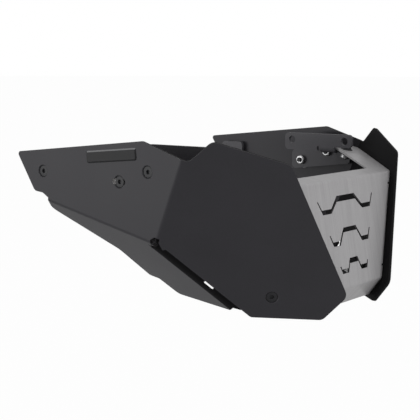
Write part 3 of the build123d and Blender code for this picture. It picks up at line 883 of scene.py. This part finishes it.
@dataclass
class Dresser:
    """Gives pieces the finish of their slot, and their body."""

    nodes: dict[str, bpy.types.Object]
    facets: SidePanelFacets
    finishes: dict[Slot, Material] = field(default_factory=dict)
    # brackets' coat, painted lighter than the panels' coat as painted light
    painted_light_bracket_coat: Material | None = None

    def make_finishes(self) -> None:
        """Builds one material for each slot, and one for the brackets, which share the coated slot but get a
        lighter copy of the coat as painted light.
        """
        black_oxide = Metal("black_oxide", dark=(0.009, 0.009, 0.010), light=(0.016, 0.016, 0.018),
                            roughness=0.5, metallic=0.0, specular=0.16)
        dull_zinc = Metal("dull_zinc", dark=(0.20, 0.20, 0.205), light=(0.30, 0.30, 0.30), roughness=0.42)
        rubber = Grained("moulded_rubber", dark=(0.01, 0.01, 0.01), light=(0.022, 0.022, 0.022),
                         roughness=0.7)
        # the blank plate's upward bevel gets a painted highlight
        plate = Grained("blank_plate", dark=(0.007, 0.007, 0.0075), light=(0.012, 0.012, 0.013),
                        roughness=0.5, specular=0.1, grain_height=0.01 * MM, painted_highlight=(0.15, 0.15, 0.155))
        # painted light: a lighter copy of the panels' black coat for the brackets
        bracket = Grained("painted_light_bracket_coat", dark=(0.034, 0.033, 0.037), light=(0.046, 0.045, 0.050),
                          roughness=0.55, specular=0.22, grain_size=0.9 * MM, grain_height=0.02 * MM)
        self.finishes = {
            Slot.COATED_SHEET: PowderCoat(self.facets).make(),
            Slot.BRUSHED_SHEET: BrushedSheet().make(),
            Slot.BLACK_SCREWS: black_oxide.make(),
            Slot.ZINC_HARDWARE: dull_zinc.make(),
            Slot.RUBBER: rubber.make(),
            Slot.NAME_PLATE: plate.make(),
        }
        self.painted_light_bracket_coat = bracket.make()

    def paint_solid(self, name: str, finish: Material) -> None:
        """Assigns a finish to every material slot of a solid.

        Args:
            name: name of the node.
            finish: the material.
        """
        node = self.nodes[name]
        for index in range(len(node.data.materials)):
            node.data.materials[index] = finish
        if not node.data.materials:
            node.data.materials.append(finish)
        LOG.info("solid %s: %s", name, finish.name)

    def add(self, right: Sequence[Surface], name: str, slot: Slot, stands_for: str | None = None) -> None:
        """Makes a piece from right-hand surfaces and their mirror images, and dresses it.

        Args:
            right: the surfaces of the right side.
            name: name of the new object.
            slot: finish of the piece.
            stands_for: name of the solid that it replaces, if any.
        """
        mirrored = [surface.mirrored() for surface in right]
        made = Surface.joined([*right, *mirrored]).to_object(name)
        made.data.materials.append(self.finishes[slot])
        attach(made, BODY)
        if stands_for is not None:
            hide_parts(stands_for)
        LOG.info("piece %s: %d faces, replaces %s", name, len(made.data.polygons), stands_for or "nothing")


# Hardware


@dataclass(frozen=True)
class SocketScrew:
    """M6 screw with a hexagon socket and a rolled thread."""

    length: float
    thread: Thread = M6
    socket_half: float = 2.0 * MM
    socket_depth: float = 2.0 * MM
    socket_end: float = 0.9
    lead_share: float = 1.0
    lead: float = 0.3 * MM
    foot: float = 0.1 * MM
    tip: float = 0.5 * MM
    rim: float = 0.1 * MM
    overlap: float = 0.3 * MM
    segments: int = 48

    def whole(self, outside: Array, top: float, neck: float, end: float) -> Surface:
        """Head and threaded shank.

        The head is a profile turned round the axis, whose radius is a hexagon's in the rows of the socket.

        Args:
            outside: radius and height of each row from the middle of the seat to the rim of the socket.
            top: height of the head's top.
            neck: height where the shank meets the head.
            end: height of the shank's free end.

        Returns:
            The surface.
        """
        half = self.socket_half
        floor = top - self.socket_depth
        socket = [(half * self.lead_share, top - self.lead), (half, floor + self.foot),
                  (half * self.socket_end, floor), (0, floor - self.tip)]
        profile = np.concatenate([outside, socket])
        hexagonal = (np.arange(len(profile)) >= len(outside))[:, None]

        def reach(angle: Array, row: Array) -> Array:
            """Radius of each point: round outside, hexagonal in the socket."""
            return profile[:, :1] * np.where(hexagonal, hexagon(angle), 1.0)

        head = turned(reach, profile[:, 1], self.segments)
        return Surface.joined([head, self.thread.rod(end, neck + self.overlap)])


@dataclass(frozen=True)
class CountersunkScrew(SocketScrew):
    """Screw with a flat cone head that sits a little below the sheet."""

    lead_share: float = 1.03
    lead: float = 0.25 * MM
    foot: float = 0.0
    tip: float = 0.4 * MM
    overlap: float = 0.1 * MM
    head_radius: float = 5.7 * MM
    countersink_radius: float = 6.8 * MM
    edge: float = 0.25 * MM
    rim_shares: Pair = (1.3, 1.2)

    def surface(self) -> Surface:
        """Screw whose sheet has its outer face at Z = 0.

        Returns:
            The surface, with the shank downward.
        """
        top = self.head_radius - self.countersink_radius
        neck = top - (self.head_radius - self.thread.radius)
        wide, narrow = self.rim_shares
        cone = [
            (0, neck, 0),
            (self.thread.radius, neck, 0),
            (self.head_radius, top, self.edge),
            (self.socket_half * wide, top, self.rim),
            (self.socket_half * narrow, top, 0),
        ]
        return self.whole(round_profile(cone, steps=3), top, neck, top - self.length)


@dataclass(frozen=True)
class FlangedScrew(SocketScrew):
    """Button head screw with a flange."""

    flange_radius: float = 6.8 * MM
    flange_height: float = 1.0 * MM
    flange_step: float = 0.25 * MM
    flange_edge: float = 0.3 * MM
    seat_edge: float = 0.15 * MM
    head_radius: float = 5.25 * MM
    head_height: float = 3.3 * MM
    shoulder_shares: Pair = (0.93, 0.66)
    shoulder_rounding: float = 1.2 * MM
    top_share: float = 0.62
    top_rounding: float = 1.0 * MM
    rim_share: float = 1.22

    def surface(self) -> Surface:
        """Screw whose head has its seat at Z = 0.

        Returns:
            The surface, with the shank downward.
        """
        top = self.head_height
        across, up = self.shoulder_shares
        corners = [
            (0, 0, 0),
            (self.flange_radius, 0, self.seat_edge),
            (self.flange_radius, self.flange_height / 2, self.flange_edge),
            (self.head_radius + self.flange_step, self.flange_height, self.flange_edge),
            (self.head_radius * across, top * up, self.shoulder_rounding),
            (self.head_radius * self.top_share, top, self.top_rounding),
            (self.socket_half * self.rim_share, top, self.rim),
        ]
        return self.whole(round_profile(corners, steps=5), top, 0.0, -self.length)


@dataclass(frozen=True)
class HexagonNut:
    """Hexagon nut with chamfered corners, and a lock ring where it has a collar."""

    flats: float
    height: float
    bore_radius: float
    collar_radius: float = 0.0
    collar_height: float = 0.0
    collar_edge: float = 0.5 * MM
    chamfer: float = 0.35 * MM
    end_share: float = 0.97
    levels: tuple[float, ...] = (0.0, 0.0, 0.25, 0.5, 1.0, 1.5)
    segments: int = 60

    def surface(self) -> Surface:
        """Nut from Z = 0 up.

        The radius is the smaller of the hexagon's radius and a cone's radius that grows from the end faces,
        so the corners are cut by a curved chamfer.

        Returns:
            The surface, with the collar on top.
        """
        half = self.flats / 2
        corner = half / cos(pi / 6)
        end = half * self.end_share
        levels = np.array(self.levels) * self.chamfer
        height = np.concatenate([levels, self.height - levels[::-1]])
        cone = end + np.minimum(height, self.height - height) * (corner - end) / self.chamfer
        outside = np.stack([np.full(len(height), corner), height], -1)
        profile = np.concatenate([outside, [(self.bore_radius, self.height), (self.bore_radius, 0.0)]])
        limit = np.concatenate([cone, [self.bore_radius, self.bore_radius]])[:, None]
        is_bore = (np.arange(len(profile)) >= len(height))[:, None]

        def reach(angle: Array, radius: Array) -> Array:
            """Radius of each point."""
            return np.where(is_bore, radius, np.minimum(half * hexagon(angle), limit))

        made = [carried(profile, self.segments, reach)]
        if self.collar_height:
            collar = ring(self.collar_radius, self.bore_radius, self.collar_height, self.collar_edge)
            made.append(collar.placed(Matrix.Translation((0, 0, self.height))))
        return Surface.joined(made)


@dataclass
class Assembly:
    """Pieces that belong together; the right side is drawn and the left side is its mirror image."""

    dresser: Dresser
    places: SheetPlaces


@dataclass
class SideFasteners(Assembly):
    """Screws, spacers and clinch nuts of the side facets and of the arms of the top plate."""

    screws_at: tuple[Pair, ...] = ((-128.7 * MM, 144.6 * MM), MIDDLE_SCREW, (15.3 * MM, 151.5 * MM))
    arm_screw_at: Pair = (55.0 * MM, -142.0 * MM)
    side_length: float = 16.0 * MM
    arm_length: float = 12.0 * MM
    arm_sheet: float = 2.0 * MM
    spacer_radius: float = 10.5 * MM
    spacer_bore: float = 4.0 * MM
    spacer_length: float = 3.0 * MM
    spacer_edge: float = 0.4 * MM
    bracket_sheet: float = 4.0 * MM

    def _at_sides(self, surface: Surface, depth: float = 0.0) -> list[Surface]:
        """The surface at each side screw, so far inside the side facet."""
        return [surface.placed(self.places.on_side(x, z, depth)) for x, z in self.screws_at]

    def build(self) -> None:
        """Makes the pieces."""
        screw = CountersunkScrew(self.side_length).surface()
        self.dresser.add(self._at_sides(screw), "side_screw_set", Slot.BLACK_SCREWS, "side_screws")
        arm = FlangedScrew(self.arm_length).surface().placed(self.places.on_top_plate(*self.arm_screw_at))
        self.dresser.add([arm], "arm_screw_pair", Slot.BLACK_SCREWS, "arm_screws")
        spacer = ring(self.spacer_radius, self.spacer_bore, self.spacer_length, self.spacer_edge)
        depth = self.places.sheet + self.spacer_length
        self.dresser.add(self._at_sides(spacer, depth), "side_spacer_set", Slot.ZINC_HARDWARE, "side_spacers")
        nut = ClinchNut(self.bracket_sheet).surface()
        nuts = self._at_sides(nut, depth + self.bracket_sheet)
        below = self.arm_sheet + self.bracket_sheet
        nuts.append(nut.placed(self.places.on_top_plate(*self.arm_screw_at, below)))
        self.dresser.add(nuts, "clinch_nut_set", Slot.ZINC_HARDWARE, "clinch_nuts")


@dataclass(frozen=True)
class ClinchNut:
    """Round nut pressed into a sheet."""

    sheet: float
    radius: float = 5.5 * MM
    height: float = 5.0 * MM
    bore: float = 3.0 * MM
    shank: float = 4.35 * MM
    chamfer: float = 1.0 * MM
    rounding: float = 0.4 * MM
    bore_edge: float = 0.2 * MM
    shank_edge: float = 0.1 * MM
    segments: int = 48

    def surface(self) -> Surface:
        """Nut below Z = 0 with its shank up through the sheet; the profile is one closed loop.

        Returns:
            The surface.
        """
        loop = [
            (self.bore, -self.height, self.bore_edge),
            (self.radius - self.chamfer, -self.height, self.rounding),
            (self.radius, -self.height + self.chamfer, self.rounding),
            (self.radius, 0, 0),
            (self.shank, 0, 0),
            (self.shank, self.sheet, self.shank_edge),
            (self.bore, self.sheet, self.shank_edge),
            (self.bore, -self.height, self.bore_edge),
        ]
        return carried(round_profile(loop, steps=3)[:-1], self.segments)


@dataclass
class CornerFasteners(Assembly):
    """Screw, spacer, washer and lock nut through each front flap and the tab behind it."""

    screw_at: Pair = (112.4 * MM, 127.8 * MM)
    length: float = 25.0 * MM
    tab_depth: float = 10.0 * MM
    spacer_radius: float = 7.0 * MM
    spacer_bore: float = 4.0 * MM
    spacer_edge: float = 0.4 * MM
    washer_radius: float = 6.0 * MM
    washer_thickness: float = 1.6 * MM
    washer_edge: float = 0.25 * MM
    bore_radius: float = 3.0 * MM
    nut_flats: float = 10.0 * MM
    nut_height: float = 5.0 * MM
    collar_radius: float = 4.3 * MM
    collar_height: float = 2.0 * MM

    def _at(self, depth: float) -> Matrix:
        """Frame of the screw, so far behind the front flap's outer face."""
        return self.places.on_front_flap(*self.screw_at, depth)

    def build(self) -> None:
        """Makes the pieces."""
        tab = self.tab_depth
        sheet = self.places.sheet
        behind = self._at(tab + sheet + self.washer_thickness)
        screw = CountersunkScrew(self.length).surface()
        spacer = ring(self.spacer_radius, self.spacer_bore, tab - sheet, self.spacer_edge)
        washer = ring(self.washer_radius, self.bore_radius, self.washer_thickness, self.washer_edge)
        nut = HexagonNut(self.nut_flats, self.nut_height, self.bore_radius, self.collar_radius,
                         self.collar_height).surface()
        for surface, place, kind, slot in (
            (screw, self._at(0.0), "screw", Slot.BLACK_SCREWS),
            (spacer, self._at(tab), "spacer", Slot.ZINC_HARDWARE),
            (washer, behind, "washer", Slot.ZINC_HARDWARE),
            (nut, behind @ Matrix.Rotation(pi, 4, "X"), "nut", Slot.ZINC_HARDWARE),
        ):
            self.dresser.add([surface.placed(place)], f"corner_{kind}_pair", slot, f"corner_{kind}s")


@dataclass
class FlangeStuds(Assembly):
    """Threaded studs on the front flaps with the washers and nuts that hold the front panel's flanges."""

    studs_at: tuple[Pair, ...] = ((34.0 * MM, 119.6 * MM), (71.3 * MM, 149.9 * MM))
    thread: Thread = M5_FINE
    length: float = 11.0 * MM
    flange_sheet: float = 2.0 * MM
    washer_radius: float = 5.0 * MM
    washer_thickness: float = 1.0 * MM
    washer_edge: float = 0.2 * MM
    nut_flats: float = 8.0 * MM
    nut_height: float = 4.0 * MM

    def _at_studs(self, surface: Surface, depth: float) -> list[Surface]:
        """The surface at each stud, pointing inward so far behind the front flap's inner face.

        Args:
            surface: a surface that points up.
            depth: distance from the inner face.

        Returns:
            One surface for each stud of the right side.
        """
        turn = Matrix.Rotation(pi, 4, "X")
        return [surface.placed(self.places.on_front_flap(down, away, self.places.sheet + depth) @ turn)
                for down, away in self.studs_at]

    def build(self) -> None:
        """Makes the pieces."""
        stud = self.thread.rod(-self.length, 0.0).placed(Matrix.Rotation(pi, 4, "X"))
        washer = ring(self.washer_radius, self.thread.radius, self.washer_thickness, self.washer_edge)
        nut = HexagonNut(self.nut_flats, self.nut_height, self.thread.radius).surface()
        for surface, depth, kind in (
            (stud, 0.0, "flange_stud"),
            (washer, self.flange_sheet, "stud_washer"),
            (nut, self.flange_sheet + self.washer_thickness, "stud_nut"),
        ):
            self.dresser.add(self._at_studs(surface, depth), f"{kind}_set", Slot.ZINC_HARDWARE, f"{kind}s")


@dataclass
class RearMounts(Assembly):
    """Rubber grommets and steel sleeves in the rear brackets."""

    centre: Point = (-128.7 * MM, -134.0 * MM, 130.0 * MM)
    grommet_radius: float = 12.0 * MM
    grommet_height: float = 10.0 * MM
    grommet_rounding: float = 1.4 * MM
    groove_radius: float = 8.0 * MM
    groove_height: float = 4.0 * MM
    groove_edge: float = 0.4 * MM
    sleeve_radius: float = 5.5 * MM
    sleeve_bore: float = 4.2 * MM
    sleeve_height: float = 12.0 * MM
    sleeve_edge: float = 0.3 * MM
    segments: int = 64

    def build(self) -> None:
        """Makes the pieces."""
        top = self.grommet_height / 2
        groove = self.groove_height / 2
        half = [
            (self.sleeve_radius, top, self.sleeve_edge),
            (self.grommet_radius, top, self.grommet_rounding),
            (self.grommet_radius, groove, self.groove_edge),
            (self.groove_radius, groove, 0),
        ]
        lower = [(radius, -height, rounding) for radius, height, rounding in half]
        loop = [*lower, *half[::-1], lower[0]]
        place = Matrix.Translation(self.centre)
        grommet = carried(round_profile(loop)[:-1], self.segments).placed(place)
        self.dresser.add([grommet], "rear_grommet_pair", Slot.RUBBER, "rear_grommets")
        sleeve = ring(self.sleeve_radius, self.sleeve_bore, self.sleeve_height, self.sleeve_edge)
        sleeve = sleeve.placed(place @ Matrix.Translation((0, 0, -self.sleeve_height / 2)))
        self.dresser.add([sleeve], "rear_sleeve_pair", Slot.ZINC_HARDWARE, "rear_sleeves")


@dataclass
class CornerWelds(Assembly):
    """Weld bead inside each side panel where the three facets meet at the slit's rear end, in the coat's
    painted shade.
    """

    depth: float = 5.0 * MM
    rearward: float = 4.5 * MM
    radius: float = 6.0 * MM
    flatness: float = 0.45
    ripples: int = 9
    ripple: float = 0.03
    rows: int = 17
    segments: int = 54

    def build(self) -> None:
        """Makes the beads.

        A flattened ball: the radius round the axis is R cos t (1 + ripple cos(n a)) and the height is
        R flatness sin t, for t from -90 to 90 degrees; its axis is the sum of the three outward directions.
        """
        facets = self.places.facets
        turn = np.linspace(-pi / 2, pi / 2, self.rows)

        def reach(angle: Array, row: Array) -> Array:
            """Radius of each point, none at the two ends."""
            round_share = np.abs(np.cos(turn))[:, None]
            return self.radius * round_share * (1 + self.ripple * np.cos(self.ripples * angle))

        bead = turned(reach, self.radius * self.flatness * np.sin(turn), self.segments)
        side, front, lower = facets.all()
        out = (side.out + front.out + lower.out).normalized()
        # placed deep enough for the coat's painted shade, so the slit's rear end shows dark
        centre = facets.corner(self.depth) - Vector((self.rearward, 0, 0))
        place = Matrix.Translation(centre) @ out.to_track_quat("Z", "Y").to_matrix().to_4x4()
        self.dresser.add([bead.placed(place)], "corner_weld_pair", Slot.COATED_SHEET)


@dataclass
class SheetMetal(Assembly):
    """The folded sheets and brackets, which keep the shape of the solids."""

    def build(self) -> None:
        """Gives each sheet its finish."""
        finishes = self.dresser.finishes
        self.dresser.paint_solid("front_panel", finishes[Slot.BRUSHED_SHEET])
        for side in ("right", "left"):
            self.dresser.paint_solid(f"{side}_side_panel", finishes[Slot.COATED_SHEET])
            self.dresser.paint_solid(f"{side}_front_bracket", self.dresser.painted_light_bracket_coat)
            self.dresser.paint_solid(f"{side}_rear_bracket", self.dresser.painted_light_bracket_coat)
            self.dresser.paint_solid(f"{side}_name_plate", finishes[Slot.NAME_PLATE])


# Studio


@dataclass
class Softbox:
    """Rectangular studio lamp that points at the skid plate."""

    name: str
    at: Point
    size: Pair
    watts: float

    def build(self, target: Vector) -> None:
        """Places the lamp.

        Args:
            target: point that the lamp faces.
        """
        data = bpy.data.lights.new(self.name, "AREA")
        data.shape = "RECTANGLE"
        data.size, data.size_y = self.size
        data.energy = self.watts
        lamp = bpy.data.objects.new(self.name, data)
        lamp.location = self.at
        lamp.rotation_euler = (target - Vector(self.at)).to_track_quat("-Z", "Y").to_euler()
        bpy.context.scene.collection.objects.link(lamp)


@dataclass
class Studio:
    """White surroundings, a pale floor below the hanging plate, and soft lamps."""

    floor_level: float = -0.12
    floor_reach: float = 40.0
    surroundings: float = 0.32
    target: Point = (0.0, 0.0, 0.1)
    lamps: tuple[Softbox, ...] = (
        Softbox("side_softbox", at=(-1.3, -2.2, 0.12), size=(1.6, 0.16), watts=40.0),
        Softbox("front_softbox", at=(2.05, -0.75, 0.3), size=(0.9, 0.9), watts=25.0),
        Softbox("top_softbox", at=(0.2, -0.8, 1.8), size=(1.5, 1.5), watts=9.0),
    )

    def build(self) -> None:
        """Makes the world, the floor and the lamps."""
        self._world()
        self._floor()
        for lamp in self.lamps:
            lamp.build(Vector(self.target))

    def _world(self) -> None:
        """White to the camera, reflections and refractions, softer as light."""
        world = bpy.data.worlds.new("studio")
        world.use_nodes = True
        bpy.context.scene.world = world
        board = Board(world.node_tree)
        strength = board.seen() * (1 - self.surroundings) + self.surroundings
        white = board.node("ShaderNodeBackground", {}, {"Color": WHITE, "Strength": strength})
        board.node("ShaderNodeOutputWorld", {}, {"Surface": white})

    def _floor(self) -> None:
        """Flat floor with the stage white finish."""
        corners = np.array([(-1, -1), (1, -1), (1, 1), (-1, 1)]) * self.floor_reach
        points = np.column_stack([corners, np.full(len(corners), self.floor_level)])
        floor = Surface(points, [np.array([[0, 1, 2, 3]])]).to_object("floor")
        floor.data.materials.append(StageWhite().make())


@dataclass
class PhotoCamera:
    """Camera at the photograph's place, solved from the corners of the sheets in the photograph."""

    at: Point = (707.0 * MM, -986.6 * MM, 252.7 * MM)
    azimuth: float = radians(37.13)
    elevation: float = radians(7.40)
    focal_pixels: float = 1096.88
    image_pixels: float = 420.0
    sensor: float = 36.0
    clip: Pair = (0.05, 50.0)

    def build(self) -> None:
        """Makes the camera and sets it as the scene's."""
        data = bpy.data.cameras.new("photo_camera")
        data.sensor_width = self.sensor
        data.lens = self.focal_pixels * self.sensor / self.image_pixels
        data.clip_start, data.clip_end = self.clip
        right = Vector((cos(self.azimuth), sin(self.azimuth), 0))
        level = Vector((-sin(self.azimuth), cos(self.azimuth), 0))
        ahead = level * cos(self.elevation) - Vector((0, 0, sin(self.elevation)))
        turn = Matrix((right, right.cross(ahead), -ahead)).transposed()
        camera = bpy.data.objects.new("photo_camera", data)
        camera.matrix_world = Matrix.Translation(self.at) @ turn.to_4x4()
        bpy.context.scene.collection.objects.link(camera)
        bpy.context.scene.camera = camera


def main() -> None:
    """Builds the studio and dresses the skid plate."""
    logging.basicConfig(level=logging.INFO, format="%(message)s")
    bpy.context.scene.view_settings.view_transform = "Standard"
    PhotoCamera().build()
    Studio().build()
    facets = SidePanelFacets()
    dresser = Dresser(frame["nodes"], facets)
    dresser.make_finishes()
    places = SheetPlaces(facets)
    for kind in (SheetMetal, SideFasteners, CornerFasteners, FlangeStuds, RearMounts, CornerWelds):
        LOG.info("assembly %s", kind.__name__)
        kind(dresser, places).build()


if __name__ == "__main__":
    main()
